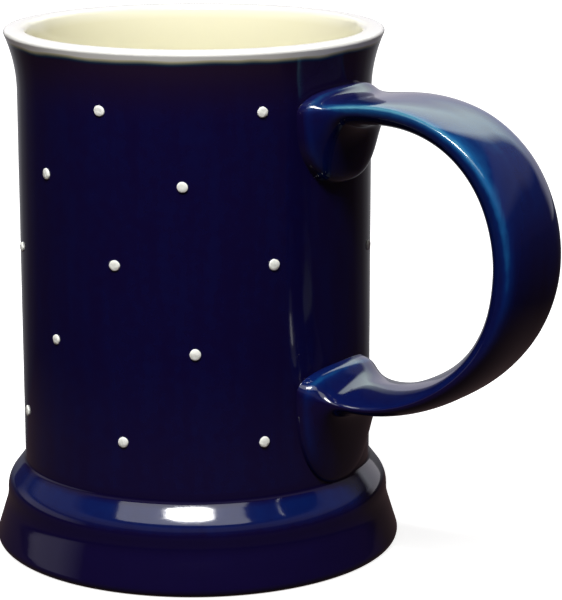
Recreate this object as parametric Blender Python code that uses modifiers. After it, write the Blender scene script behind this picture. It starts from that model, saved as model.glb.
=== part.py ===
"""A hand-made stoneware beer mug: turned body, strap handle and raised slip dots, fired as one piece.

Metres, +Z up. The origin is on the mug's axis at its underside, and the handle stands out along +X.
"""

import math

import bmesh
import bpy
from mathutils import Vector

# Turned body
MUG_HEIGHT = 0.132
BODY_RADIUS = 0.0444
WALL = 0.0048
FLOOR = 0.008
FLOOR_CORNER_RADIUS = 0.009
LIP_SPREAD = 0.0035
LIP_RISE = 0.0155
RIM_WIDTH = 0.0057
RIM_ROUNDING = 0.0021

# Foot, from the underside up
FOOT_SPREAD = 0.0082
FOOT_EDGE_RADIUS = 0.0018
WAIST_SPREAD = 0.0046
WAIST_HEIGHT = 0.0114
COVE_RADIUS = 0.012
COLLAR_HEIGHT = 0.0046
SHOULDER_RISE = 0.006
SHOULDER_RADIUS = 0.007
CREASE_RADIUS = 0.002

# Strap handle
STRAP_WIDTH = 0.0269
TOP_ARM_THICKNESS = 0.0072
LOW_ARM_THICKNESS = 0.0067
BELLY_THICKNESS = 0.0098
THICKENING = 2
STRAP_OVAL = 0.9
HANDLE_REACH = 0.0506
TOP_ARM_DROP = 0.0177
LOW_ARM_ABOVE_FOOT = 0.0246
BELLY_DROP = 0.0492
TOP_PULL = 0.0378
TOP_RISE = 0.0089
BELLY_PULL_UP = 0.0191
BELLY_PULL_DOWN = 0.0268
LOW_PULL = 0.0213
LOW_SAG = 0.0073

# The pads by which the strap is luted to the wall
PAD_THICKNESS = 0.0009
PAD_SPREAD = 0.0024
PAD_CROWN = 0.0024
PAD_SQUARENESS = 0.1
TOP_PAD_DEPTH = 0.0138
LOW_PAD_LAP = 0.0005
ROOT_REACH = 0.011
ROOT_CURVE = 5

# Slip dots: the share of the straight wall's height, the first dot's angle from the handle, the step
# between dots and their number
DOT_ROWS = (
    (0.863, -33.0, -51.5, 2),
    (0.863, -151.0, -46.5, 4),
    (0.706, -58.0, -50.0, 6),
    (0.527, -29.2, -50.8, 2),
    (0.511, 22.2, 51.7, 5),
    (0.336, -54.5, -50.0, 6),
    (0.130, -32.6, -45.3, 2),
    (0.130, -128.4, -48.0, 5),
)
DOT_RADIUS = 0.0013
DOT_HEIGHT = 0.0006

# Fineness of the faceted solid
TURNS = 64
ARC_STEP_DEGREES = 20
LIP_STEPS = 4
STRAP_SIDES = 24
ARM_STEPS = 9
ROOT_STEPS = 5
DOT_SIDES = 8
DOT_RINGS = 4

FOOT_HEIGHT = WAIST_HEIGHT + COLLAR_HEIGHT + SHOULDER_RISE


def clear_scene():
    for thing in list(bpy.data.objects):
        bpy.data.objects.remove(thing, do_unlink=True)


def make_collection(name, hidden=False):
    group = bpy.data.collections.new(name)
    bpy.context.scene.collection.children.link(group)
    group.hide_render = hidden
    return group


def make_glaze(name, colour, roughness):
    """A Principled material in one plain colour."""
    finish = bpy.data.materials.new(name)
    finish.use_nodes = True
    finish.diffuse_color = (*colour, 1.0)
    shader = finish.node_tree.nodes["Principled BSDF"]
    shader.inputs["Base Color"].default_value = (*colour, 1.0)
    shader.inputs["Roughness"].default_value = roughness
    shader.inputs["Metallic"].default_value = 0.0
    return finish


def rounded(corners):
    """The outline through (radius, height, rounding) corners, with an arc of that rounding at each.

    A rounding is held to what the two sides beside its corner leave room for.
    """
    points = []
    for i, (r, z, rounding) in enumerate(corners):
        here = Vector((r, z))
        if rounding == 0:
            points.append(here)
            continue
        back = Vector(corners[i - 1][:2]) - here
        on = Vector(corners[i + 1][:2]) - here
        half = back.angle(on) / 2
        room = 0.48 * min(back.length, on.length)
        reach = min(rounding / math.tan(half), room)
        radius = reach * math.tan(half)
        centre = here + (back.normalized() + on.normalized()).normalized() * radius / math.sin(half)
        start = here + back.normalized() * reach - centre
        sweep = start.angle_signed(here + on.normalized() * reach - centre)
        steps = max(2, round(abs(math.degrees(sweep)) / ARC_STEP_DEGREES))
        for k in range(steps + 1):
            turn = -sweep * k / steps
            spun = Vector((
                start.x * math.cos(turn) - start.y * math.sin(turn),
                start.x * math.sin(turn) + start.y * math.cos(turn),
            ))
            points.append(centre + spun)
    return points


def flare(radius, share):
    """How far the lip stands out of a wall of this radius, at a share of the lip's rise."""
    return radius + LIP_SPREAD * share ** 2


def mug_outline():
    """Half of the mug's section, from the middle of the floor inside, over the rim, to the middle below."""
    inner = BODY_RADIUS - WALL
    rim_inner = BODY_RADIUS + LIP_SPREAD - RIM_WIDTH
    lip_start = MUG_HEIGHT - LIP_RISE
    shares = [k / LIP_STEPS for k in range(1, LIP_STEPS)]
    inside = [
        (inner + (rim_inner - inner) * share ** 2, lip_start + LIP_RISE * share, 0) for share in shares
    ]
    outside = [(flare(BODY_RADIUS, share), lip_start + LIP_RISE * share, 0) for share in reversed(shares)]
    return rounded([
        (0, FLOOR, 0),
        (inner, FLOOR, FLOOR_CORNER_RADIUS),
        (inner, lip_start, 0),
        *inside,
        (rim_inner, MUG_HEIGHT, RIM_ROUNDING),
        (flare(BODY_RADIUS, 1), MUG_HEIGHT, RIM_ROUNDING),
        *outside,
        (BODY_RADIUS, lip_start, 0),
        (BODY_RADIUS, FOOT_HEIGHT, CREASE_RADIUS),
        (BODY_RADIUS + WAIST_SPREAD, WAIST_HEIGHT + COLLAR_HEIGHT, SHOULDER_RADIUS),
        (BODY_RADIUS + WAIST_SPREAD, WAIST_HEIGHT, COVE_RADIUS),
        (BODY_RADIUS + FOOT_SPREAD, 0, FOOT_EDGE_RADIUS),
        (0, 0, 0),
    ])


def turn_body(group):
    """The body as a potter turns it: the half section spun about the mug's axis."""
    outline = mug_outline()
    mesh = bpy.data.meshes.new("mug_section")
    edges = [(i, i + 1) for i in range(len(outline) - 1)]
    mesh.from_pydata([(p.x, 0, p.y) for p in outline], edges, [])
    body = bpy.data.objects.new("mug_body", mesh)
    group.objects.link(body)
    spin = body.modifiers.new("turned", "SCREW")
    spin.axis = "Z"
    spin.steps = TURNS
    spin.render_steps = TURNS
    spin.use_merge_vertices = True
    spin.merge_threshold = 0.00001
    return body


def bezier(start, pull_out, pull_in, end, share):
    """A point of a cubic curve and its direction there."""
    left = 1 - share
    point = (
        start * left ** 3
        + pull_out * 3 * left ** 2 * share
        + pull_in * 3 * left * share ** 2
        + end * share ** 3
    )
    along = (
        (pull_out - start) * left ** 2
        + (pull_in - pull_out) * 2 * left * share
        + (end - pull_in) * share ** 2
    )
    return point, along.normalized()


def handle_stations():
    """(point, direction, distance from the wall) along the strap's middle, top root to low root."""
    wall = BODY_RADIUS
    top = Vector((wall, MUG_HEIGHT - TOP_ARM_DROP))
    low = Vector((wall, FOOT_HEIGHT + LOW_ARM_ABOVE_FOOT))
    belly = Vector((wall + HANDLE_REACH, MUG_HEIGHT - BELLY_DROP))
    upper = (top, top + Vector((TOP_PULL, TOP_RISE)), belly + Vector((0, BELLY_PULL_UP)), belly)
    lower = (low, low + Vector((LOW_PULL, -LOW_SAG)), belly - Vector((0, BELLY_PULL_DOWN)), belly)
    stations = []
    for curve, pull in ((upper, TOP_PULL), (lower, LOW_PULL)):
        root_share = ROOT_REACH / (3 * pull)
        shares = [root_share * (k / ROOT_STEPS) ** 2 for k in range(ROOT_STEPS + 1)]
        shares += [root_share + (1 - root_share) * k / ARM_STEPS for k in range(1, ARM_STEPS + 1)]
        arm = [bezier(*curve, share) for share in shares]
        if curve is lower:
            arm = [(point, -along) for point, along in reversed(arm[:-1])]
        stations += arm
    return [(point, along, max(0.0, point.x - wall)) for point, along in stations]


def strap_ring(point, along, gap, is_top):
    """One section of the strap: a flat oval that spreads and deepens into a pad against the wall."""
    near = max(0.0, 1 - gap / ROOT_REACH)
    swell = min(1.0, max(0.0, 1 - (gap - PAD_THICKNESS) / ROOT_REACH)) ** ROOT_CURVE
    upright = Vector((0, 1 if is_top else -1))
    outward = Vector((-along.y, along.x)).lerp(upright, near).normalized()
    arm = TOP_ARM_THICKNESS if is_top else LOW_ARM_THICKNESS
    half_thick = (arm + (BELLY_THICKNESS - arm) * (gap / HANDLE_REACH) ** THICKENING) / 2
    depth = TOP_PAD_DEPTH if is_top else LOW_ARM_ABOVE_FOOT - half_thick + LOW_PAD_LAP
    half_width = STRAP_WIDTH / 2 + PAD_SPREAD * swell
    power = STRAP_OVAL - PAD_SQUARENESS * swell
    ring = []
    for k in range(STRAP_SIDES):
        angle = 2 * math.pi * k / STRAP_SIDES
        on_outer_side = math.sin(angle) > 0
        is_underneath = on_outer_side != is_top
        across = half_width * math.copysign(abs(math.cos(angle)) ** power, math.cos(angle))
        lift = math.copysign(abs(math.sin(angle)) ** power, math.sin(angle))
        place = point + outward * lift * (half_thick + swell * (depth if is_underneath else PAD_CROWN))
        bow = BODY_RADIUS - math.sqrt(BODY_RADIUS ** 2 - across ** 2)
        ring.append((place.x - bow * near, across, place.y))
    return ring


def sink(ring):
    """The ring moved straight in towards the mug's axis, to the middle of the wall."""
    sunk = []
    for x, y, z in ring:
        shrink = (BODY_RADIUS - WALL / 2) / math.hypot(x, y)
        sunk.append((x * shrink, y * shrink, z))
    return sunk


def loft_handle(group):
    """The pulled strap, lofted by hand because its root sections differ from its middle ones."""
    stations = handle_stations()
    belly = ROOT_STEPS + ARM_STEPS
    rings = [strap_ring(*station, i <= belly) for i, station in enumerate(stations)]
    rings = [sink(rings[0]), *rings[1:-1], sink(rings[-1])]
    shape = bmesh.new()
    loops = [[shape.verts.new(p) for p in ring] for ring in rings]
    for one, other in zip(loops, loops[1:]):
        for k in range(STRAP_SIDES):
            following = (k + 1) % STRAP_SIDES
            shape.faces.new((one[k], one[following], other[following], other[k]))
    for loop, ring in ((loops[0], rings[0]), (loops[-1], rings[-1])):
        hub = shape.verts.new((BODY_RADIUS - WALL / 2, 0, sum(p[2] for p in ring) / STRAP_SIDES))
        for k in range(STRAP_SIDES):
            shape.faces.new((loop[k], loop[(k + 1) % STRAP_SIDES], hub))
    bmesh.ops.recalc_face_normals(shape, faces=shape.faces)
    mesh = bpy.data.meshes.new("handle_strap")
    shape.to_mesh(mesh)
    shape.free()
    strap = bpy.data.objects.new("handle_strap", mesh)
    group.objects.link(strap)
    return strap


def lay_dots(group, finish):
    """The raised slip dots, in rows round the wall that miss the handle."""
    shape = bmesh.new()
    for share, first, step, number in DOT_ROWS:
        height = FOOT_HEIGHT + share * (MUG_HEIGHT - FOOT_HEIGHT)
        lip_share = max(0.0, (height - MUG_HEIGHT + LIP_RISE) / LIP_RISE)
        for k in range(number):
            angle = math.radians(first + step * k)
            made = bmesh.ops.create_uvsphere(shape, u_segments=DOT_SIDES, v_segments=DOT_RINGS, radius=1)
            bmesh.ops.scale(shape, vec=(DOT_RADIUS, DOT_RADIUS, DOT_HEIGHT), verts=made["verts"])
            for vert in made["verts"]:
                x, y, z = vert.co
                radius = flare(BODY_RADIUS, lip_share) + z
                vert.co = (
                    radius * math.cos(angle) - x * math.sin(angle),
                    radius * math.sin(angle) + x * math.cos(angle),
                    height + y,
                )
    bmesh.ops.recalc_face_normals(shape, faces=shape.faces)
    mesh = bpy.data.meshes.new("slip_dots")
    shape.to_mesh(mesh)
    shape.free()
    mesh.materials.append(finish)
    dots = bpy.data.objects.new("slip_dots", mesh)
    group.objects.link(dots)
    return dots


def join(body, other):
    union = body.modifiers.new(other.name, "BOOLEAN")
    union.operation = "UNION"
    union.solver = "EXACT"
    union.material_mode = "TRANSFER"
    union.object = other
    other.hide_render = True
    other.display_type = "WIRE"


def glaze_by_place(mesh, slip):
    """Cobalt glaze outside, cream glaze inside and over the rim, bare clay below."""
    cobalt = make_glaze("cobalt_glaze", (0.006, 0.005, 0.05), 0.08)
    cream = make_glaze("cream_glaze", (0.87, 0.86, 0.66), 0.12)
    clay = make_glaze("bare_clay", (0.55, 0.42, 0.29), 0.8)
    is_slip = [mesh.materials[face.material_index] == slip for face in mesh.polygons]
    mesh.materials.clear()
    for finish in (cobalt, cream, clay, slip):
        mesh.materials.append(finish)
    mouth = BODY_RADIUS + LIP_SPREAD - RIM_ROUNDING
    for face, slipped in zip(mesh.polygons, is_slip):
        x, y, z = face.center
        distance = math.hypot(x, y)
        inside = z > FLOOR / 2 and distance < BODY_RADIUS - WALL / 2
        over_rim = z > MUG_HEIGHT - RIM_ROUNDING and distance < mouth
        if slipped:
            face.material_index = 3
        elif inside or over_rim:
            face.material_index = 1
        elif z < FOOT_EDGE_RADIUS / 4:
            face.material_index = 2
        else:
            face.material_index = 0


def build_mug():
    """The whole mug as one closed mesh."""
    mug_parts = make_collection("beer_mug")
    helpers = make_collection("joined_shapes", hidden=True)
    slip = make_glaze("white_slip", (0.72, 0.75, 0.66), 0.2)
    body = turn_body(mug_parts)
    body.data.materials.append(make_glaze("clay_body", (0.5, 0.4, 0.3), 0.6))
    join(body, loft_handle(helpers))
    join(body, lay_dots(helpers, slip))
    graph = bpy.context.evaluated_depsgraph_get()
    mesh = bpy.data.meshes.new_from_object(body.evaluated_get(graph))
    mesh.name = "mug"
    glaze_by_place(mesh, slip)
    mesh.shade_smooth()
    mesh.set_sharp_from_angle(angle=math.radians(40))
    mug = bpy.data.objects.new("mug", mesh)
    mug_parts.objects.link(mug)
    bpy.data.objects.remove(body, do_unlink=True)


clear_scene()
build_mug()
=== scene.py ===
import math

import bmesh
import bpy
import numpy as np
from mathutils import Euler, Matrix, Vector, noise


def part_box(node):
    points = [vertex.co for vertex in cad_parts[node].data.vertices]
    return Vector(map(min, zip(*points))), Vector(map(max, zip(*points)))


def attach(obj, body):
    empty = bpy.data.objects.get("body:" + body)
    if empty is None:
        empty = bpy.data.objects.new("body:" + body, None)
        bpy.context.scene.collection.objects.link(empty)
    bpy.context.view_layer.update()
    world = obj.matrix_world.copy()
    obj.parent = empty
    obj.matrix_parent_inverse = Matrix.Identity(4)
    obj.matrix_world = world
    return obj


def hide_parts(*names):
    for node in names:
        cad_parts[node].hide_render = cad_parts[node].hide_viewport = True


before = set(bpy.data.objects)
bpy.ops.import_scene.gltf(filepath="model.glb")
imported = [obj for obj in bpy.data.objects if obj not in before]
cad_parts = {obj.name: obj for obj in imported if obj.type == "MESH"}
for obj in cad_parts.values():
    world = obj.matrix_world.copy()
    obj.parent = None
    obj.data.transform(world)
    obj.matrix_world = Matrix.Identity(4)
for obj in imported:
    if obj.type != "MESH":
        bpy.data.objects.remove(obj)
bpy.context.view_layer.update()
scene = bpy.context.scene


# The body: stoneware clay, thrown and turned on a wheel. A straight wall flares into a rounded lip and stands
# on a spreading foot with a collar. The cup inside has a rounded corner above a thick floor.

foot_corner, far_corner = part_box("mug")
mug_height = far_corner.z - foot_corner.z
body_radius = 0.0444
wall = 0.0048
floor_thickness = 0.008
floor_corner_radius = 0.009
lip_spread = 0.0035
lip_rise = 0.0155
rim_width = 0.0057
rim_rounding = 0.0021

foot_spread = 0.0082
foot_edge_radius = 0.0018
waist_spread = 0.0046
waist_height = 0.0114
cove_radius = 0.012
collar_height = 0.0046
shoulder_rise = 0.006
shoulder_radius = 0.007
crease_radius = 0.0022
foot_height = waist_height + collar_height + shoulder_rise

wheel_turns = 224
wall_step = 0.0015
step_slack = 0.01
arc_step = 0.0008
arc_angle = math.radians(8)
arc_share = 0.48
flare_steps = 18
throwing_ring_depth = 0.00006
throwing_ring_spacing = 0.0052
waver_depth = 0.00018
waver_length = 0.045
calm_radius = 0.01
pole_weld = 0.00001


def node(tree, kind, inputs=None, **settings):
    """Adds a node with its settings. An input is a value, a socket, or a node whose first output is linked."""
    made = tree.nodes.new(kind)
    for name, value in settings.items():
        setattr(made, name, value)
    for name, value in (inputs or {}).items():
        if isinstance(value, bpy.types.Node):
            value = value.outputs[0]
        if isinstance(value, bpy.types.NodeSocket):
            tree.links.new(value, made.inputs[name])
        else:
            made.inputs[name].default_value = value
    return made


def geometry_tree(name, **sizes):
    """A geometry tree with a shape going in and out and one named input for each size, given as its kind."""
    tree = bpy.data.node_groups.new(name, "GeometryNodeTree")
    tree.interface.new_socket("Shape", in_out="INPUT", socket_type="NodeSocketGeometry")
    for label, kind in sizes.items():
        tree.interface.new_socket(label.replace("_", " "), in_out="INPUT", socket_type="NodeSocket" + kind)
    tree.interface.new_socket("Shape", in_out="OUTPUT", socket_type="NodeSocketGeometry")
    return tree, tree.nodes.new("NodeGroupInput").outputs


def realised(tree, source, **sizes):
    """The plain mesh that a geometry tree makes of a source mesh with these sizes."""
    carrier = bpy.data.objects.new(tree.name, source)
    scene.collection.objects.link(carrier)
    grow = carrier.modifiers.new(tree.name, "NODES")
    grow.node_group = tree
    for item in tree.interface.items_tree:
        label = item.name.replace(" ", "_")
        if item.in_out == "INPUT" and label in sizes:
            grow[item.identifier] = sizes[label]
    graph = bpy.context.evaluated_depsgraph_get()
    mesh = bpy.data.meshes.new_from_object(carrier.evaluated_get(graph))
    bpy.data.objects.remove(carrier, do_unlink=True)
    return mesh


def rounded(corners):
    """The outline through (radius, height, rounding) corners, with an arc of that rounding at each."""
    points = []
    for i, (r, z, rounding) in enumerate(corners):
        here = Vector((r, z))
        if rounding == 0:
            points.append(here)
            continue
        back = Vector(corners[i - 1][:2]) - here
        on = Vector(corners[i + 1][:2]) - here
        half = back.angle(on) / 2
        room = arc_share * min(back.length, on.length)
        reach = min(rounding / math.tan(half), room)
        radius = reach * math.tan(half)
        centre = here + (back.normalized() + on.normalized()).normalized() * radius / math.sin(half)
        start = here + back.normalized() * reach - centre
        sweep = start.angle_signed(here + on.normalized() * reach - centre)
        steps = math.ceil(max(abs(sweep) / arc_angle, abs(sweep) * radius / arc_step))
        for k in range(steps + 1):
            turn = -sweep * k / steps
            spun = Vector((
                start.x * math.cos(turn) - start.y * math.sin(turn),
                start.x * math.sin(turn) + start.y * math.cos(turn),
            ))
            points.append(centre + spun)
    return points


def even_steps(points, longest):
    """The outline with its long straight stretches cut into even steps."""
    cut = [points[0]]
    for one, other in zip(points, points[1:]):
        steps = math.ceil((other - one).length / longest - step_slack)
        cut += [one.lerp(other, k / steps) for k in range(1, steps + 1)]
    return cut


def wall_radius(height):
    """The outside radius of the plain wall and its flared lip at a height."""
    share = max(0.0, (height - mug_height + lip_rise) / lip_rise)
    return body_radius + lip_spread * share ** 2


def mug_outline():
    """Half of the mug's section, from the middle of the floor inside, over the rim, to the middle below."""
    inner = body_radius - wall
    rim_inner = body_radius + lip_spread - rim_width
    lip_start = mug_height - lip_rise
    shares = [k / flare_steps for k in range(1, flare_steps)]
    inside = [(inner + (rim_inner - inner) * share ** 2, lip_start + lip_rise * share, 0) for share in shares]
    outside = [(wall_radius(height), height, 0) for _, height, _ in reversed(inside)]
    return even_steps(rounded([
        (0, floor_thickness, 0),
        (inner, floor_thickness, floor_corner_radius),
        (inner, lip_start, 0),
        *inside[:-2],
        (rim_inner, mug_height, rim_rounding),
        (body_radius + lip_spread, mug_height, rim_rounding),
        *outside[2:],
        (body_radius, lip_start, 0),
        (body_radius, foot_height, crease_radius),
        (body_radius + waist_spread, waist_height + collar_height, shoulder_radius),
        (body_radius + waist_spread, waist_height, cove_radius),
        (body_radius + foot_spread, 0, foot_edge_radius),
        (0, 0, 0),
    ]), wall_step)


def wheel_tree():
    """Turns an outline round the mug's axis, with the faint rings and waver that a potter's fingers leave."""
    tree, given = geometry_tree(
        "turned_on_the_wheel", Turns="Int", Ring_Depth="Float", Ring_Spacing="Float",
        Waver_Depth="Float", Waver_Length="Float", Seed="Float", Finish="Material",
    )

    # A grid with one column for each turn of the wheel, whose last column closes on the first
    rows = node(tree, "GeometryNodeAttributeDomainSize", {"Geometry": given["Shape"]}, component="MESH")
    grid = node(tree, "GeometryNodeMeshGrid", {
        "Vertices X": node(tree, "ShaderNodeMath", {0: given["Turns"], 1: 1.0}, operation="ADD"),
        "Vertices Y": rows,
    })
    index = node(tree, "GeometryNodeInputIndex")
    row = node(tree, "ShaderNodeMath", {0: index, 1: rows}, operation="MODULO")
    column = node(tree, "ShaderNodeMath", {0: index, 1: rows}, operation="DIVIDE")
    column = node(tree, "ShaderNodeMath", {0: column}, operation="FLOOR")
    column = node(tree, "ShaderNodeMath", {0: column, 1: given["Turns"]}, operation="MODULO")
    turn = node(tree, "ShaderNodeMath", {0: column, 1: given["Turns"]}, operation="DIVIDE")
    angle = node(tree, "ShaderNodeMath", {0: turn, 1: 2 * math.pi}, operation="MULTIPLY")
    point = node(tree, "GeometryNodeSampleIndex", {
        "Geometry": given["Shape"],
        "Value": node(tree, "GeometryNodeInputPosition"),
        "Index": row,
    }, data_type="FLOAT_VECTOR")
    turned = node(tree, "ShaderNodeVectorRotate", {"Vector": point, "Angle": angle}, rotation_type="Z_AXIS")
    outward = node(tree, "ShaderNodeVectorRotate", {
        "Vector": (1, 0, 0), "Angle": angle,
    }, rotation_type="Z_AXIS")

    # The rings change fast up the wall and slowly round it, and the waver slowly both ways
    across = node(tree, "ShaderNodeMath", {0: 1.0, 1: given["Waver Length"]}, operation="DIVIDE")
    upward = node(tree, "ShaderNodeMath", {0: 1.0, 1: given["Ring Spacing"]}, operation="DIVIDE")
    depths = []
    for rise, detail, depth in ((upward, 1.0, "Ring Depth"), (across, 0.0, "Waver Depth")):
        pattern = node(tree, "ShaderNodeTexNoise", {
            "Vector": node(tree, "ShaderNodeVectorMath", {
                0: turned, 1: node(tree, "ShaderNodeCombineXYZ", {0: across, 1: across, 2: rise}),
            }, operation="MULTIPLY"),
            "W": given["Seed"], "Scale": 1.0, "Detail": detail,
        }, noise_dimensions="4D")
        depths.append(node(tree, "ShaderNodeMath", {0: pattern, 1: given[depth]}, operation="MULTIPLY"))
    inward = node(tree, "ShaderNodeMath", {0: depths[0], 1: depths[1]}, operation="ADD")
    parts = node(tree, "ShaderNodeSeparateXYZ", {"Vector": point})
    off_axis = node(tree, "ShaderNodeMapRange", {"Value": parts, "From Max": calm_radius})
    off_axis = node(tree, "ShaderNodeMath", {0: off_axis, 1: -1.0}, operation="MULTIPLY")
    shift = node(tree, "ShaderNodeVectorMath", {
        0: outward, "Scale": node(tree, "ShaderNodeMath", {0: inward, 1: off_axis}, operation="MULTIPLY"),
    }, operation="SCALE")
    laid = node(tree, "GeometryNodeSetPosition", {
        "Geometry": grid, "Position": node(tree, "ShaderNodeVectorMath", {0: turned, 1: shift}, operation="ADD"),
    })
    closed = node(tree, "GeometryNodeMergeByDistance", {"Geometry": laid, "Distance": pole_weld})
    smooth = node(tree, "GeometryNodeSetShadeSmooth", {0: closed, "Shade Smooth": True})
    plain = node(tree, "GeometryNodeRealizeInstances", {0: smooth})
    finished = node(tree, "GeometryNodeSetMaterial", {"Geometry": plain, "Material": given["Finish"]})
    node(tree, "NodeGroupOutput", {"Shape": finished})
    return tree


outline = mug_outline()
section = bpy.data.meshes.new("mug_section")
section.from_pydata([(p.x, 0, p.y) for p in outline], [(i, i + 1) for i in range(len(outline) - 1)], [])
glaze = bpy.data.materials.new("dipped_stoneware_glaze")
turned_body = realised(
    wheel_tree(), section, Turns=wheel_turns, Ring_Depth=throwing_ring_depth, Ring_Spacing=throwing_ring_spacing,
    Waver_Depth=waver_depth, Waver_Length=waver_length, Seed=4.0, Finish=glaze,
)


# The handle: a pulled strap of the same clay. It is thicker at its belly, its section is a flat oval with its
# widest line near the outer face, and a thumb-pressed pad at each end holds it to the wall.

strap_width = 0.0269
top_arm_thickness = 0.0065
low_arm_thickness = 0.0062
belly_thickness = 0.0096
thickening = 2
handle_reach = far_corner.x - body_radius - belly_thickness / 2
top_arm_drop = 0.0173
low_arm_above_foot = 0.0244
belly_drop = 0.0493
top_pull = 0.036
top_rise = 0.009
belly_pull_up = 0.0195
belly_pull_down = 0.0263
low_pull = 0.0218
low_sag = 0.0068

# Powers of the section's oval: 1 is an ellipse, less is squarer
flat_face_oval = 0.78
full_face_oval = 0.86
crowned_face_oval = 1.3
pad_oval = 0.9
ridge_lean = 0.0017
low_arm_lean = 0.0003
lean_offset = 0.35
top_face_from = -0.85
top_face_over = 0.8
strap_narrowing = 0.0005

pad_thickness = 0.0024
pad_spread = 0.0025
pad_crown = 0.003
pad_squareness = 0.1
pad_edge_rounding = 0.0009
pad_fillet = 0.0002
root_sink = 0.0003
top_pad_depth = 0.0144
low_pad_lap = 0.0005
root_reach = 0.011
root_curve = 5

strap_sides = 96
curve_pieces = 200
first_step = 0.0001
longest_step = 0.0012
step_growth = 1.12
fine_share = 0.1
fine_reach = 1.6 * pad_thickness
lump_depth = 0.00009
lump_length = 0.011
lump_sink = 0.6
seam_angle = math.radians(42)


def curve_point(start, pull_out, pull_in, end, share):
    """A point of a cubic curve and its direction there."""
    left = 1 - share
    point = (
        start * left ** 3
        + pull_out * 3 * left ** 2 * share
        + pull_in * 3 * left * share ** 2
        + end * share ** 3
    )
    along = (
        (pull_out - start) * left ** 2
        + (pull_in - pull_out) * 2 * left * share
        + (end - pull_in) * share ** 2
    )
    return point, along.normalized()


def arm_shares(curve):
    """Shares along a curve from its root, close together in the pad and wider apart beyond it."""
    marks = [curve_point(*curve, k / curve_pieces)[0] for k in range(curve_pieces + 1)]
    length = sum((one - other).length for one, other in zip(marks, marks[1:]))
    speed = 3 * (curve[1] - curve[0]).length
    shares = [0.0]
    step = first_step
    while shares[-1] < 1:
        shares.append(shares[-1] + step / (speed if shares[-1] < fine_share else length))
        if shares[-1] * speed > fine_reach:
            step = min(longest_step, step * step_growth)
    return [share / shares[-1] for share in shares]


def handle_stations():
    """(point, direction, distance from the wall, is the top arm) along the strap's middle."""
    root = body_radius - root_sink
    top = Vector((root, mug_height - top_arm_drop))
    low = Vector((root, foot_height + low_arm_above_foot))
    belly = Vector((body_radius + handle_reach, mug_height - belly_drop))
    upper = (top, top + Vector((top_pull, top_rise)), belly + Vector((0, belly_pull_up)), belly)
    lower = (low, low + Vector((low_pull, -low_sag)), belly - Vector((0, belly_pull_down)), belly)
    stations = []
    for is_top, curve in ((True, upper), (False, lower)):
        arm = [curve_point(*curve, share) for share in arm_shares(curve)]
        if not is_top:
            arm = [(point, -along) for point, along in reversed(arm[:-1])]
        stations += [(point, along, max(0.0, point.x - root), is_top) for point, along in arm]
    return stations


def past_pad(gap):
    """How far a place is beyond the pad, eased over the pad's edge."""
    past = gap - pad_thickness
    return (past + math.hypot(past, pad_edge_rounding)) / 2


def strap_ring(point, along, gap, is_top):
    """One section of the strap, which spreads and deepens into a pad and meets the wall with a fillet."""
    near = max(0.0, 1 - gap / root_reach)
    swell = (max(0.0, root_reach - past_pad(gap)) / (root_reach - past_pad(0))) ** root_curve
    fillet = pad_fillet - math.sqrt(pad_fillet ** 2 - max(0.0, pad_fillet - gap) ** 2)
    upright = Vector((0, 1 if is_top else -1))
    outward = Vector((-along.y, along.x)).lerp(upright, near).normalized()
    arm = top_arm_thickness if is_top else low_arm_thickness
    half_thick = (arm + (belly_thickness - arm) * (gap / handle_reach) ** thickening) / 2
    depth = top_pad_depth if is_top else low_arm_above_foot - half_thick + low_pad_lap
    half_width = strap_width / 2 - strap_narrowing * (1 - swell) + pad_spread * swell + fillet
    facing_up = max(0.0, min(1.0, (outward.y - top_face_from) / top_face_over))
    on_top = facing_up ** 2 * (3 - 2 * facing_up)
    lean = (low_arm_lean + (ridge_lean - low_arm_lean) * on_top) * (1 - swell)
    outer_oval = full_face_oval + (flat_face_oval - full_face_oval) * max(0, lean / ridge_lean)
    inner_oval = full_face_oval + (crowned_face_oval - full_face_oval) * (1 - on_top)
    ring = []
    for k in range(strap_sides):
        angle = 2 * math.pi * k / strap_sides
        side, up = math.cos(angle), math.sin(angle)
        is_underneath = (up > 0) != is_top
        face = math.copysign(1, up)
        oval = outer_oval if up > 0 else inner_oval
        power = oval + (pad_oval - oval) * math.sqrt(swell) - pad_squareness * swell
        across = half_width * math.copysign(abs(side) ** power, side)
        lift = math.copysign(abs(up) ** power, up)
        stretch = half_thick - face * lean + swell * (depth if is_underneath else pad_crown) + fillet
        place = point + outward * (lift * stretch + lean * (1 - lean_offset))
        bow = body_radius - math.sqrt(body_radius ** 2 - across ** 2)
        ring.append(Vector((place.x - bow * near, across, place.y)))
    return ring


def sink(ring):
    """The ring moved straight in towards the mug's axis, to the middle of the wall."""
    sunk = []
    for x, y, z in ring:
        shrink = (body_radius - wall / 2) / math.hypot(x, y)
        sunk.append(Vector((x * shrink, y * shrink, z)))
    return sunk


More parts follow.
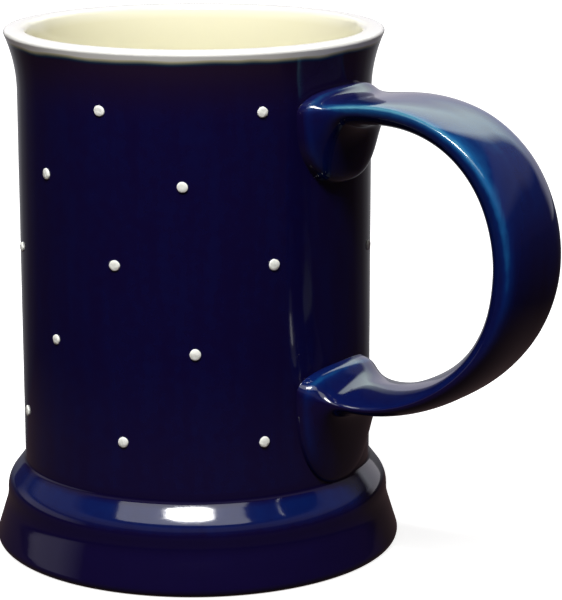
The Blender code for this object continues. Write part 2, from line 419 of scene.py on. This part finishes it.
def loft_strap():
    """The strap as one closed mesh, its ends sunk into the wall."""
    stations = handle_stations()
    rings = [strap_ring(*station) for station in stations]
    for ring, (point, _, gap, _) in zip(rings, stations):
        for place in ring:
            outward = Vector((place.x - point.x, place.y, place.z - point.y)).normalized()
            calm = min(1.0, gap / root_reach)
            place += outward * lump_depth * (noise.noise(place / lump_length) - lump_sink) * calm
    rings = [sink(rings[0]), *rings[1:-1], sink(rings[-1])]
    shape = bmesh.new()
    loops = [[shape.verts.new(p) for p in ring] for ring in rings]
    for one, other in zip(loops, loops[1:]):
        for k in range(strap_sides):
            following = (k + 1) % strap_sides
            shape.faces.new((one[k], one[following], other[following], other[k]))
    for loop, ring in ((loops[0], rings[0]), (loops[-1], rings[-1])):
        hub = shape.verts.new((body_radius - wall / 2, 0, sum(p.z for p in ring) / strap_sides))
        for k in range(strap_sides):
            shape.faces.new((loop[k], loop[(k + 1) % strap_sides], hub))
    bmesh.ops.recalc_face_normals(shape, faces=shape.faces)
    mesh = bpy.data.meshes.new("handle_strap")
    shape.to_mesh(mesh)
    shape.free()
    mesh.materials.append(glaze)
    mesh.shade_smooth()
    return mesh


# Luting: the strap and the body become one skin, with a crisp line where they meet
mug = bpy.data.objects.new("glazed_mug", turned_body)
strap = bpy.data.objects.new("handle_strap", loft_strap())
for part in (mug, strap):
    scene.collection.objects.link(part)
luting = mug.modifiers.new("luted", "BOOLEAN")
luting.operation = "UNION"
luting.solver = "EXACT"
luting.object = strap
united = bpy.data.meshes.new_from_object(mug.evaluated_get(bpy.context.evaluated_depsgraph_get()))
mug.modifiers.remove(luting)
mug.data = united
bpy.data.objects.remove(strap, do_unlink=True)
united.shade_smooth()
united.set_sharp_from_angle(angle=seam_angle)


# The glaze: the whole mug was dipped in a dark cobalt glaze after the cup had been lined with cream. It runs
# thin and teal over ridges, which on the strap's upper ridges is partly a painted highlight, lies thick and almost
# black in hollows, and is wiped off the underside. Surfaces facing up are painted lighter, a painted light from
# above.

lining_overlap = 0.0028
bend_reach = 0.0024
cells_around = 3

# Where the glaze thins less: along the pads' edges, and on the strap more so the lower it is. The strap is also
# lighter high up and darker low down, and its pale ridges high up are partly a painted highlight
foot_margin = 0.001
lip_margin = 0.004
pad_bend_share = 0.2
pad_from, pad_over = 0.001, 0.0014
strap_from, strap_over = 0.002, 0.004
strap_height_from, strap_height_over = 0.048, 0.04
low_loss = 0.95
strap_tone_by_height = 0.03
strap_darker_below = 0.7


def linear(colour):
    """An sRGB hex colour as the linear values that a socket takes."""
    levels = [int(colour[i:i + 2], 16) / 255 for i in (1, 3, 5)]
    return (*(v / 12.92 if v <= 0.04045 else ((v + 0.055) / 1.055) ** 2.4 for v in levels), 1.0)


def surface_bend(mesh, reach):
    """How far the surface within reach falls away below each vertex, as a share of reach: ridges are above 0."""
    count = len(mesh.vertices)
    places = np.empty(count * 3)
    mesh.vertices.foreach_get("co", places)
    places = places.reshape(-1, 3)
    normals = np.empty(count * 3)
    mesh.vertices.foreach_get("normal", normals)
    normals = normals.reshape(-1, 3)
    mesh.calc_loop_triangles()
    corners = np.empty(len(mesh.loop_triangles) * 3, int)
    mesh.loop_triangles.foreach_get("vertices", corners)
    corners = corners.reshape(-1, 3)
    triangle = places[corners]
    middle = triangle.mean(1)
    area = np.linalg.norm(np.cross(triangle[:, 1] - triangle[:, 0], triangle[:, 2] - triangle[:, 0]), axis=1) / 2
    cell = reach / 2
    origin = places.min(0) - 4 * reach
    span = np.ceil((places.max(0) + 4 * reach - origin) / cell).astype(int)

    def key(points):
        spot = np.floor((points - origin) / cell).astype(int)
        return (spot[:, 0] * span[1] + spot[:, 1]) * span[2] + spot[:, 2]

    filled, where = np.unique(key(middle), return_inverse=True)
    weight = np.bincount(where, area)
    centre = np.stack([np.bincount(where, area * middle[:, axis]) / weight for axis in range(3)], 1)
    own = key(places)
    total = np.zeros(count)
    fall = np.zeros(count)
    nearby = range(-cells_around, cells_around + 1)
    for dx in nearby:
        for dy in nearby:
            for dz in nearby:
                wanted = own + (dx * span[1] + dy) * span[2] + dz
                found = np.minimum(np.searchsorted(filled, wanted), len(filled) - 1)
                offset = centre[found] - places
                share = 1 - (offset ** 2).sum(1) / reach ** 2
                amount = np.where((filled[found] == wanted) & (share > 0), weight[found] * share, 0)
                total += amount
                fall += amount * (offset * normals).sum(1)
    return -fall / np.maximum(total, 1e-12) / reach


def lip_places(mesh):
    """Each vertex's distance from the axis, its height, and its share of the way up the flared lip, squared."""
    places = np.empty(len(mesh.vertices) * 3)
    mesh.vertices.foreach_get("co", places)
    x, y, z = places.reshape(-1, 3).T
    return np.hypot(x, y), z, np.clip((z - mug_height + lip_rise) / lip_rise, 0, 1) ** 2


def above_glaze_line(mesh):
    """Each vertex's height above the line where the cream lining shows over the rim, with the cup far above."""
    radius, z, flare = lip_places(mesh)
    middle = body_radius - wall / 2 + flare * (lip_spread - rim_width / 2 + wall / 2)
    in_cup = (radius < middle) & (z > floor_thickness / 2)
    below_rim = mug_height - z
    return lining_overlap + np.where(in_cup, below_rim + np.maximum(0, middle - radius), -below_rim)


def glaze_bend(mesh):
    """The bend that thins the glaze, less so on the low edges of the pads, where the glaze filled in, and on the
    strap less the lower it goes. The strap is also lighter high up and darker low down, and its pale ridges high up
    are partly a painted highlight.
    """
    radius, z, flare = lip_places(mesh)
    proud = radius - body_radius - lip_spread * flare
    off_wall = np.clip((proud - pad_from) / pad_over, 0, 1)
    on_strap = np.clip((proud - strap_from) / strap_over, 0, 1)
    strap_height_share = np.clip((z - strap_height_from) / strap_height_over, 0, 1)
    on_wall = (z > foot_height + foot_margin) & (z < mug_height - lip_margin)
    keep = np.where(on_wall, np.maximum(off_wall, pad_bend_share), 1)
    keep *= 1 - on_strap * (low_loss - strap_height_share)
    return surface_bend(mesh, bend_reach) * keep + strap_tone_by_height * on_strap * 2 * (strap_height_share - strap_darker_below)


for name, values in (("bend", glaze_bend(united)), ("lining", above_glaze_line(united) * 1000)):
    united.attributes.new(name, "FLOAT", "POINT").data.foreach_set("value", values.astype(np.float32))

glaze.use_nodes = True
tree = glaze.node_tree
tree.nodes.clear()


def graded(made, *stops):
    """The colour ramp node with these stops, each given as its place and sRGB hex value."""
    bar = made.color_ramp.elements
    while len(bar) < len(stops):
        bar.new(0.5)
    for stop, (place, colour) in zip(bar, stops):
        stop.position = place
        stop.color = linear(colour)
    return made


# The inputs of a Map Range below are 0 the value, 1 and 2 its limits, and 3 and 4 what they become
place = node(tree, "ShaderNodeTexCoord").outputs["Object"]
bend = node(tree, "ShaderNodeAttribute", attribute_name="bend").outputs["Fac"]
lining = node(tree, "ShaderNodeAttribute", attribute_name="lining").outputs["Fac"]

# Soft noise, keyed by the size of its patches in millimetres
patches = {
    size: node(tree, "ShaderNodeTexNoise", {"Vector": place, "Scale": 1000 / size, "Detail": detail})
    for size, detail in ((0.9, 4.0), (1.4, 2.0), (2.5, 2.0), (9.0, 2.0), (13.0, 1.0))
}

# Cobalt: the glaze runs thin and teal over ridges, which high on the strap is partly a painted highlight, and is
# mottled by the clay below. Where the surface faces up it is painted lighter, a painted light from above. Its runs
# are about
# 4 mm wide and 33 mm long
up = node(tree, "ShaderNodeSeparateXYZ", {0: node(tree, "ShaderNodeNewGeometry").outputs["Normal"]}).outputs["Z"]
runs = node(tree, "ShaderNodeTexNoise", {
    "Vector": node(tree, "ShaderNodeMapping", {"Vector": place, "Scale": (250, 250, 30)}), "Scale": 1.0,
})
thinness_and_light = node(tree, "ShaderNodeMapRange", {0: bend, 1: -0.1, 2: 0.25, 3: -0.2, 4: 0.5})
for lightening in (
    # Painted light from above: the more the surface faces up, the lighter the cobalt
    {0: up, 1: 0.15, 2: 0.75, 3: 0.0, 4: 0.17},
    {0: patches[2.5], 1: 0.3, 2: 0.7, 3: -0.012, 4: 0.012},
    {0: runs, 1: 0.3, 2: 0.7, 3: 0.235, 4: 0.265},
):
    thinness_and_light = node(tree, "ShaderNodeMath", {
        0: thinness_and_light, 1: node(tree, "ShaderNodeMapRange", lightening),
    }, operation="ADD")
cobalt = graded(
    node(tree, "ShaderNodeValToRGB", {"Fac": thinness_and_light}),
    (0.0, "#0A0524"), (0.24, "#0E0831"), (0.34, "#0A1244"), (0.46, "#081F58"), (0.62, "#165488"), (0.85, "#5CA4B8"),
)

# Below the rim the two glazes meet: the cobalt browns there, partly its own colour and partly a painted reflection
# of the warm floor that the down-facing flare sees, and the cream runs into it in a ragged fringe
lip_brown_and_reflection = graded(
    node(tree, "ShaderNodeValToRGB", {"Fac": node(tree, "ShaderNodeMapRange", {0: lining, 1: -16.0, 2: -1.0})}),
    (0.0, "#0E0831"), (1.0, "#2A1A34"),
)
cobalt = node(tree, "ShaderNodeMix", {
    0: node(tree, "ShaderNodeMapRange", {0: lining, 1: -16.0, 2: -2.0, 3: 0.0, 4: 0.8}), 6: cobalt, 7: lip_brown_and_reflection,
}, data_type="RGBA").outputs[2]
# The cream is painted whiter along the rim's top, a painted highlight, and is its own deeper cream further into the
# cup
cream = graded(
    node(tree, "ShaderNodeValToRGB", {"Fac": node(tree, "ShaderNodeMapRange", {0: lining, 1: 2.0, 2: 9.0})}),
    (0.0, "#FFFFFA"), (0.45, "#FBFAEA"), (1.0, "#E9E5C6"),
)
waves = node(tree, "ShaderNodeMapRange", {0: patches[13.0], 1: 0.3, 2: 0.7, 3: -0.3, 4: 0.3})
fringe = node(tree, "ShaderNodeMapRange", {
    0: node(tree, "ShaderNodeMath", {0: lining, 1: waves}, operation="ADD"), 1: -1.0, 2: 0.8,
})
edge_tint = graded(
    node(tree, "ShaderNodeValToRGB", {"Fac": fringe}),
    (0.0, "#0D1544"), (0.35, "#1D3A55"), (0.55, "#7C8478"), (0.75, "#D2CDA8"), (1.0, "#FBF9E8"),
)
colour = node(tree, "ShaderNodeMix", {
    0: node(tree, "ShaderNodeMapRange", {0: fringe, 1: 0.0, 2: 0.35}), 6: cobalt, 7: edge_tint,
}, data_type="RGBA").outputs[2]
colour = node(tree, "ShaderNodeMix", {
    0: node(tree, "ShaderNodeMapRange", {0: fringe, 1: 0.8, 2: 1.0}), 6: colour, 7: cream,
}, data_type="RGBA").outputs[2]

# Bare clay: the underside is wiped clean of glaze, and shows the buff body with its dark iron specks
low = node(tree, "ShaderNodeSeparateXYZ", {0: place}).outputs["Z"]
wiped = node(tree, "ShaderNodeMapRange", {0: low, 1: 0.0006, 2: 0.0002})
clay = graded(
    node(tree, "ShaderNodeValToRGB", {"Fac": patches[0.9]}),
    (0.3, "#6E5238"), (0.38, "#B29872"), (0.6, "#C2AA84"), (0.75, "#A88C66"),
)
colour = node(tree, "ShaderNodeMix", {0: wiped, 6: colour, 7: clay}, data_type="RGBA").outputs[2]

# Fired glaze is glassy, with the soft dimples of orange peel; wiped clay is dull
gloss = node(tree, "ShaderNodeMapRange", {0: patches[9.0], 1: 0.3, 2: 0.7, 3: 0.06, 4: 0.1})
dull = node(tree, "ShaderNodeMapRange", {0: wiped, 1: 0.0, 2: 1.0, 3: 0.0, 4: 0.75})
shader = node(tree, "ShaderNodeBsdfPrincipled", {
    "Base Color": colour,
    "Roughness": node(tree, "ShaderNodeMath", {0: gloss, 1: dull}, operation="ADD"),
    "IOR": 1.5,
    "Normal": node(tree, "ShaderNodeBump", {"Strength": 0.25, "Distance": 0.00002, "Height": patches[1.4]}),
})
node(tree, "ShaderNodeOutputMaterial", {"Surface": shader})

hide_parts("mug")
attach(mug, "root")


# The dots: white slip trailed onto the leather-hard wall, one drop each, in rows that miss the handle. The
# drops dried as low beads, no two quite round, and some sank a little in the middle.

# Share of the way up the wall, azimuth of the first dot, step to the next one, and their number
dot_rows = (
    (0.863, -33.0, -51.5, 2),
    (0.863, -151.0, -46.5, 4),
    (0.706, -58.0, -50.0, 6),
    (0.527, -29.2, -50.8, 2),
    (0.511, 22.2, 51.7, 5),
    (0.336, -54.5, -50.0, 6),
    (0.130, -32.6, -45.3, 2),
    (0.130, -128.4, -48.0, 5),
)
dot_radius = 0.0014
dot_rise = 0.0005
dot_sinking = 0.0004
dimple_depth = 0.07
dimple_share = 0.3
bead_edge = 0.985
dot_rings = 12
dot_sides = 28
ripples_per_metre = 900.0


def bead_mesh():
    """One drop of slip, lying in the XY plane: a low bead with a slight dimple and an edge below the wall."""
    shape = bmesh.new()
    top = shape.verts.new((0, 0, dot_rise * (1 - dimple_depth)))
    loops = []
    for ring in range(1, dot_rings + 1):
        share = ring / dot_rings
        dimple = dimple_depth * math.exp(-(share / dimple_share) ** 2)
        height = -dot_sinking if ring == dot_rings else dot_rise * (math.sqrt(1 - share ** 2) - dimple)
        radius = dot_radius * min(share, bead_edge)
        turns = [2 * math.pi * k / dot_sides for k in range(dot_sides)]
        loops.append([shape.verts.new((radius * math.cos(t), radius * math.sin(t), height)) for t in turns])
    for k in range(dot_sides):
        following = (k + 1) % dot_sides
        shape.faces.new((top, loops[0][k], loops[0][following]))
        for one, other in zip(loops, loops[1:]):
            shape.faces.new((one[k], other[k], other[following], one[following]))
    shape.faces.new(reversed(loops[-1]))
    mesh = bpy.data.meshes.new("slip_bead")
    shape.to_mesh(mesh)
    shape.free()
    return mesh


def dotting_tree(bead):
    """Puts a bead at each point of a mesh, facing out from the mug's axis, each a little different."""
    tree, given = geometry_tree(
        "slip_dots", Unevenness="Float", Size_Spread="Float", Seed="Int", Finish="Material",
    )
    spot = node(tree, "GeometryNodeInputPosition")
    parts = node(tree, "ShaderNodeSeparateXYZ", {"Vector": spot})
    facing = node(tree, "ShaderNodeCombineXYZ", {0: parts.outputs["X"], 1: parts.outputs["Y"]})
    upright = node(tree, "FunctionNodeAlignRotationToVector", {"Vector": facing}, axis="Z")
    spin = node(tree, "FunctionNodeRandomValue", {
        "Min": (0, 0, 0), "Max": (0, 0, 2 * math.pi), "Seed": given["Seed"],
    }, data_type="FLOAT_VECTOR")
    turned = node(tree, "FunctionNodeRotateRotation", {
        "Rotation": upright, "Rotate By": node(tree, "FunctionNodeEulerToRotation", {"Euler": spin}),
    }, rotation_space="LOCAL")
    small = node(tree, "ShaderNodeMath", {0: 1.0, 1: given["Size Spread"]}, operation="SUBTRACT")
    large = node(tree, "ShaderNodeMath", {0: 1.0, 1: given["Size Spread"]}, operation="ADD")
    size = node(tree, "FunctionNodeRandomValue", {
        "Min": node(tree, "ShaderNodeCombineXYZ", {0: small, 1: small, 2: small}),
        "Max": node(tree, "ShaderNodeCombineXYZ", {0: large, 1: large, 2: large}),
        "Seed": given["Seed"],
    }, data_type="FLOAT_VECTOR")
    shape = node(tree, "GeometryNodeObjectInfo", {"Object": bead})
    laid = node(tree, "GeometryNodeInstanceOnPoints", {
        "Points": given["Shape"], "Instance": shape.outputs["Geometry"], "Rotation": turned, "Scale": size,
    })
    loose = node(tree, "GeometryNodeRealizeInstances", {0: laid})
    ripple = node(tree, "ShaderNodeTexNoise", {"Scale": ripples_per_metre, "Detail": 1.0}, noise_dimensions="3D")
    centred = node(tree, "ShaderNodeVectorMath", {
        0: ripple.outputs["Color"], 1: (0.5, 0.5, 0.5),
    }, operation="SUBTRACT")
    uneven = node(tree, "ShaderNodeVectorMath", {0: centred, "Scale": given["Unevenness"]}, operation="SCALE")
    shaped = node(tree, "GeometryNodeSetPosition", {"Geometry": loose, "Offset": uneven})
    smooth = node(tree, "GeometryNodeSetShadeSmooth", {0: shaped, "Shade Smooth": True})
    plain = node(tree, "GeometryNodeRealizeInstances", {0: smooth})
    finished = node(tree, "GeometryNodeSetMaterial", {"Geometry": plain, "Material": given["Finish"]})
    node(tree, "NodeGroupOutput", {"Shape": finished})
    return tree


spots = []
for share, first, step, number in dot_rows:
    height = foot_height + share * (mug_height - foot_height)
    for k in range(number):
        angle = math.radians(first + step * k)
        spots.append((wall_radius(height) * math.cos(angle), wall_radius(height) * math.sin(angle), height))
spot_mesh = bpy.data.meshes.new("dot_places")
spot_mesh.from_pydata(spots, [], [])

# White slip under a thin clear glaze: nearly even white, less glassy than the cobalt
slip = bpy.data.materials.new("trailed_white_slip")
slip.use_nodes = True
tree = slip.node_tree
tree.nodes.clear()
place = node(tree, "ShaderNodeTexCoord").outputs["Object"]
blotches = node(tree, "ShaderNodeTexNoise", {"Vector": place, "Scale": 1000 / 1.2, "Detail": 2.0})
grain = node(tree, "ShaderNodeTexNoise", {"Vector": place, "Scale": 1000 / 0.8, "Detail": 2.0})
shader = node(tree, "ShaderNodeBsdfPrincipled", {
    "Base Color": graded(
        node(tree, "ShaderNodeValToRGB", {"Fac": node(tree, "ShaderNodeMapRange", {0: blotches, 1: 0.35, 2: 0.65})}),
        (0.0, "#EEF0E8"), (1.0, "#FAFBF4"),
    ),
    "Roughness": node(tree, "ShaderNodeMapRange", {0: grain, 1: 0.3, 2: 0.7, 3: 0.22, 4: 0.32}),
    "IOR": 1.5,
})
node(tree, "ShaderNodeOutputMaterial", {"Surface": shader})

bead = bpy.data.objects.new("slip_bead", bead_mesh())
scene.collection.objects.link(bead)
dots = bpy.data.objects.new("slip_dots", realised(
    dotting_tree(bead), spot_mesh, Unevenness=0.00022, Size_Spread=0.09, Seed=7, Finish=slip,
))
bpy.data.objects.remove(bead, do_unlink=True)
scene.collection.objects.link(dots)
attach(dots, "root")


# The table: a pale sheet of seamless paper. To reflections it is the dim table of a dark room, a little
# lighter behind the mug, which keeps the glaze as deep as it is when lit from above only.

camera_azimuth = 36.0
table_reach = 8.0
table_drop = 0.00005


def heading(azimuth):
    """The level direction from the mug towards something at this azimuth; the lens is at camera_azimuth."""
    return Vector((math.sin(math.radians(azimuth)), -math.cos(math.radians(azimuth)), 0))


# Matt paper: to the lens it is lit from above and also glows, a painted light that keeps it even white far
# from the lamps; it glows less close to the mug
paper = bpy.data.materials.new("seamless_paper")
paper.use_nodes = True
tree = paper.node_tree
tree.nodes.clear()
place = node(tree, "ShaderNodeTexCoord").outputs["Object"]
direction = node(tree, "ShaderNodeVectorMath", {0: place}, operation="NORMALIZE")
behind = node(tree, "ShaderNodeVectorMath", {
    0: direction, 1: -heading(camera_azimuth),
}, operation="DOT_PRODUCT").outputs["Value"]
distance = node(tree, "ShaderNodeVectorMath", {0: place}, operation="LENGTH").outputs["Value"]
around = graded(
    node(tree, "ShaderNodeValToRGB", {"Fac": node(tree, "ShaderNodeMapRange", {0: behind, 1: -1.0, 2: 1.0})}),
    (0.0, "#24181A"), (0.75, "#2C2224"), (0.85, "#403A3E"), (0.92, "#626064"), (1.0, "#A0A0A4"),
)
close_by = graded(
    node(tree, "ShaderNodeValToRGB", {"Fac": node(tree, "ShaderNodeMapRange", {0: distance, 1: 0.14, 2: 0.28})}),
    (0.0, "#483A3A"), (1.0, "#000000"),
)
# To every ray but the lens's the table is only a glow: a painted reflection of a dim table, brownish close to the
# mug and lighter behind it, and all the light it bounces
dim = node(tree, "ShaderNodeEmission", {
    "Color": node(tree, "ShaderNodeVectorMath", {0: around, 1: close_by}, operation="MAXIMUM"),
})
lit_and_glowing_paper = node(tree, "ShaderNodeAddShader", {
    0: node(tree, "ShaderNodeBsdfDiffuse", {"Color": linear("#E8E8E8")}),
    1: node(tree, "ShaderNodeEmission", {
        "Color": linear("#FFFFFF"),
        "Strength": node(tree, "ShaderNodeMapRange", {0: distance, 1: 0.06, 2: 0.25, 3: 0.85, 4: 1.1}),
    }),
})
ray = node(tree, "ShaderNodeLightPath")
seen = node(tree, "ShaderNodeMixShader", {0: ray.outputs["Is Camera Ray"], 1: dim, 2: lit_and_glowing_paper})
clear = node(tree, "ShaderNodeBsdfTransparent")
side = node(tree, "ShaderNodeNewGeometry").outputs["Backfacing"]
node(tree, "ShaderNodeOutputMaterial", {"Surface": node(tree, "ShaderNodeMixShader", {0: side, 1: seen, 2: clear})})

table_mesh = bpy.data.meshes.new("table")
table_corners = [(x * table_reach, y * table_reach, -table_drop) for x, y in ((-1, -1), (1, -1), (1, 1), (-1, 1))]
table_mesh.from_pydata(table_corners, [], [(0, 1, 2, 3)])
table_mesh.materials.append(paper)
table = bpy.data.objects.new("table", table_mesh)
scene.collection.objects.link(table)


# The light: a pale room with two rounded softboxes above the mug's front. Only the lens sees the room as
# white. The glaze reflects a bright wall behind the mug and dark sides, and the room's light is soft and even.

room = bpy.data.worlds.new("pale_room")
scene.world = room
room.use_nodes = True
tree = room.node_tree
tree.nodes.clear()
toward = node(tree, "ShaderNodeTexCoord").outputs["Generated"]
brightest = camera_azimuth + 166
light_aim = Vector((0, 0, 0.06))

# Turned so that X points at the brightest part of the wall, which is narrower the higher it is
turned = node(tree, "ShaderNodeVectorRotate", {
    "Vector": toward, "Angle": math.radians(90 - brightest),
}, rotation_type="Z_AXIS")
parts = node(tree, "ShaderNodeSeparateXYZ", {0: turned})
bearing = node(tree, "ShaderNodeMath", {0: parts.outputs["Y"], 1: parts.outputs["X"]}, operation="ARCTAN2")
off_back = node(tree, "ShaderNodeMath", {0: bearing}, operation="ABSOLUTE")
rising = node(tree, "ShaderNodeMapRange", {0: parts.outputs["Z"], 1: -0.25, 2: 0.75})
back_wall = graded(
    node(tree, "ShaderNodeValToRGB", {"Fac": rising}),
    (0.0, "#302628"), (0.2, "#807E82"), (0.4, "#84828A"), (0.54, "#90929A"), (0.64, "#AEB6B4"), (0.72, "#D2E2DA"),
    (1.0, "#F4FFF8"),
)
dark_side = graded(
    node(tree, "ShaderNodeValToRGB", {"Fac": rising}),
    (0.0, "#1A1112"), (0.52, "#1C1416"), (0.6, "#4A4650"), (0.82, "#4A4650"), (0.88, "#1C1416"), (1.0, "#1A1416"),
)
low_glow = graded(
    node(tree, "ShaderNodeValToRGB", {"Fac": rising}),
    (0.2, "#000000"), (0.28, "#66626C"), (0.44, "#66626C"), (0.52, "#000000"),
)
dark_side = node(tree, "ShaderNodeMix", {
    0: node(tree, "ShaderNodeMapRange", {0: parts.outputs["Y"], 1: 0.8, 2: 0.95}),
    6: dark_side,
    7: node(tree, "ShaderNodeVectorMath", {0: dark_side, 1: low_glow}, operation="MAXIMUM"),
}, data_type="RGBA").outputs[2]
edge = node(tree, "ShaderNodeMapRange", {
    0: parts.outputs["Z"], 1: 0.2, 2: 0.42, 3: math.radians(-37), 4: math.radians(-24),
})
past_edge = node(tree, "ShaderNodeMath", {0: off_back, 1: edge}, operation="ADD")
reflected = node(tree, "ShaderNodeBackground", {
    "Color": node(tree, "ShaderNodeMix", {
        0: node(tree, "ShaderNodeMapRange", {0: past_edge, 1: -0.06, 2: 0.08}), 6: back_wall, 7: dark_side,
    }, data_type="RGBA").outputs[2],
    "Strength": 3.2,
})
soft = node(tree, "ShaderNodeBackground", {"Color": linear("#FFF4F0"), "Strength": 0.14})
white = node(tree, "ShaderNodeBackground", {"Color": linear("#FFFFFF"), "Strength": 1.1})
ray = node(tree, "ShaderNodeLightPath")
lit = node(tree, "ShaderNodeMixShader", {0: ray.outputs["Is Glossy Ray"], 1: soft, 2: reflected})
node(tree, "ShaderNodeOutputWorld", {
    "Surface": node(tree, "ShaderNodeMixShader", {0: ray.outputs["Is Camera Ray"], 1: lit, 2: white}),
})


def softbox(name, azimuth, elevation, distance, width, height, watts):
    """A softbox with rounded ends, which faces the middle of the mug."""
    lamp = bpy.data.lights.new(name, "AREA")
    lamp.shape = "ELLIPSE"
    lamp.size = width
    lamp.size_y = height
    lamp.energy = watts
    holder = bpy.data.objects.new(name, lamp)
    scene.collection.objects.link(holder)
    rise = math.radians(elevation)
    offset = (heading(azimuth) * math.cos(rise) + Vector((0, 0, math.sin(rise)))) * distance
    holder.location = light_aim + offset
    holder.rotation_euler = (-offset).to_track_quat("-Z", "Y").to_euler()
    holder.visible_camera = False


softbox("key_softbox", camera_azimuth - 9, elevation=56, distance=0.9, width=0.42, height=0.16, watts=7.5)
softbox("wide_softbox", camera_azimuth - 12, elevation=56, distance=1.1, width=1.45, height=0.46, watts=4.6)


# The lens: a long one, a little above the mug and to the left of its handle, as the photograph's was. Its
# place, tilt and length were fitted to the mug's outline there.

view = bpy.data.cameras.new("lens")
view.sensor_width = 36
view.lens = 152.54
view.clip_end = 40
tilt_down = 13.57
turn_left = 34.04
lens = bpy.data.objects.new("lens", view)
lens.location = (0.3709, -0.5105, 0.2140)
lens.rotation_euler = Euler((math.radians(90 - tilt_down), 0, math.radians(turn_left)))
scene.collection.objects.link(lens)
scene.camera = lens
scene.view_settings.view_transform = "Standard"
scene.view_settings.look = "None"
